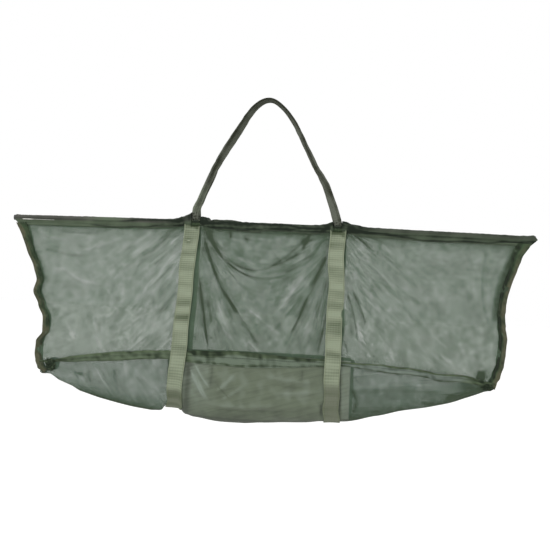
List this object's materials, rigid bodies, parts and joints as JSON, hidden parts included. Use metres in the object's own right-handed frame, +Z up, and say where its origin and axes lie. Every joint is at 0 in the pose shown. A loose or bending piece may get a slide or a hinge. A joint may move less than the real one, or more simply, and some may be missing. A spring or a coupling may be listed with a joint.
{
  "type": "fish weigh sling",
  "caption": "Hanging mesh weigh sling with bowed poles in its hems, a cloth base below the seams, webbing straps, folded end gussets and webbing handles.",
  "frame": {"origin": "the hook point: the top of the two handles' crowns, where a scale's hook carries the hanging sling", "axes": "+X along the poles, +Y towards the back, +Z up as it hangs"},
  "size_m": [1.2002, 0.075, 0.7454],
  "materials": {
    "mesh": "open knitted polyester mesh, grey green",
    "nylon": "plain woven nylon, olive green",
    "hem_cloth": "folded dark green nylon tape",
    "binding_tape": "ribbed olive brown binding",
    "strap_webbing": "light sage polypropylene webbing, cross ribbed",
    "handle_webbing": "dark olive polypropylene webbing",
    "fibreglass": "pultruded fibreglass rod, olive",
    "vinyl": "black vinyl cap"
  },
  "bodies": {
    "base": {"base_centre_panel": "nylon", "base_left_end": "mesh", "base_right_end": "mesh", "left_base_strap": "strap_webbing", "right_base_strap": "strap_webbing", "left_inner_seam_tape": "binding_tape", "right_inner_seam_tape": "binding_tape", "front_seam_band": "hem_cloth", "back_seam_band": "hem_cloth"},
    "front_side": {"front_mesh_panel": "mesh", "front_pole": "fibreglass", "front_pole_left_cap": "vinyl", "front_pole_right_cap": "vinyl", "front_left_sleeve": "hem_cloth", "front_middle_sleeve": "hem_cloth", "front_right_sleeve": "hem_cloth", "front_left_strap": "strap_webbing", "front_right_strap": "strap_webbing", "front_left_binding": "binding_tape", "front_right_binding": "binding_tape", "front_left_gusset": "mesh", "front_right_gusset": "mesh"},
    "back_side": {"back_mesh_panel": "mesh", "back_pole": "fibreglass", "back_pole_left_cap": "vinyl", "back_pole_right_cap": "vinyl", "back_left_sleeve": "hem_cloth", "back_middle_sleeve": "hem_cloth", "back_right_sleeve": "hem_cloth", "back_left_strap": "strap_webbing", "back_right_strap": "strap_webbing", "back_left_binding": "binding_tape", "back_right_binding": "binding_tape", "back_left_gusset": "mesh", "back_right_gusset": "mesh"},
    "front_handle": {"front_handle": "handle_webbing"},
    "back_handle": {"back_handle": "handle_webbing"}
  },
  "joints": [
    {"name": "front_side_opens", "type": "hinge", "parent": "base", "child": "front_side", "pos_m": [0, -0.032, -0.632], "axis": [1, 0, 0], "range_deg": [0, 14]},
    {"name": "back_side_opens", "type": "hinge", "parent": "base", "child": "back_side", "pos_m": [0, 0.032, -0.632], "axis": [-1, 0, 0], "range_deg": [0, 14]},
    {"name": "front_handle_folds", "type": "hinge", "parent": "front_side", "child": "front_handle", "pos_m": [0, -0.015, -0.29187], "axis": [1, 0, 0], "range_deg": [0, 150]},
    {"name": "back_handle_folds", "type": "hinge", "parent": "back_side", "child": "back_handle", "pos_m": [0, 0.015, -0.29187], "axis": [-1, 0, 0], "range_deg": [0, 150]}
  ]
}
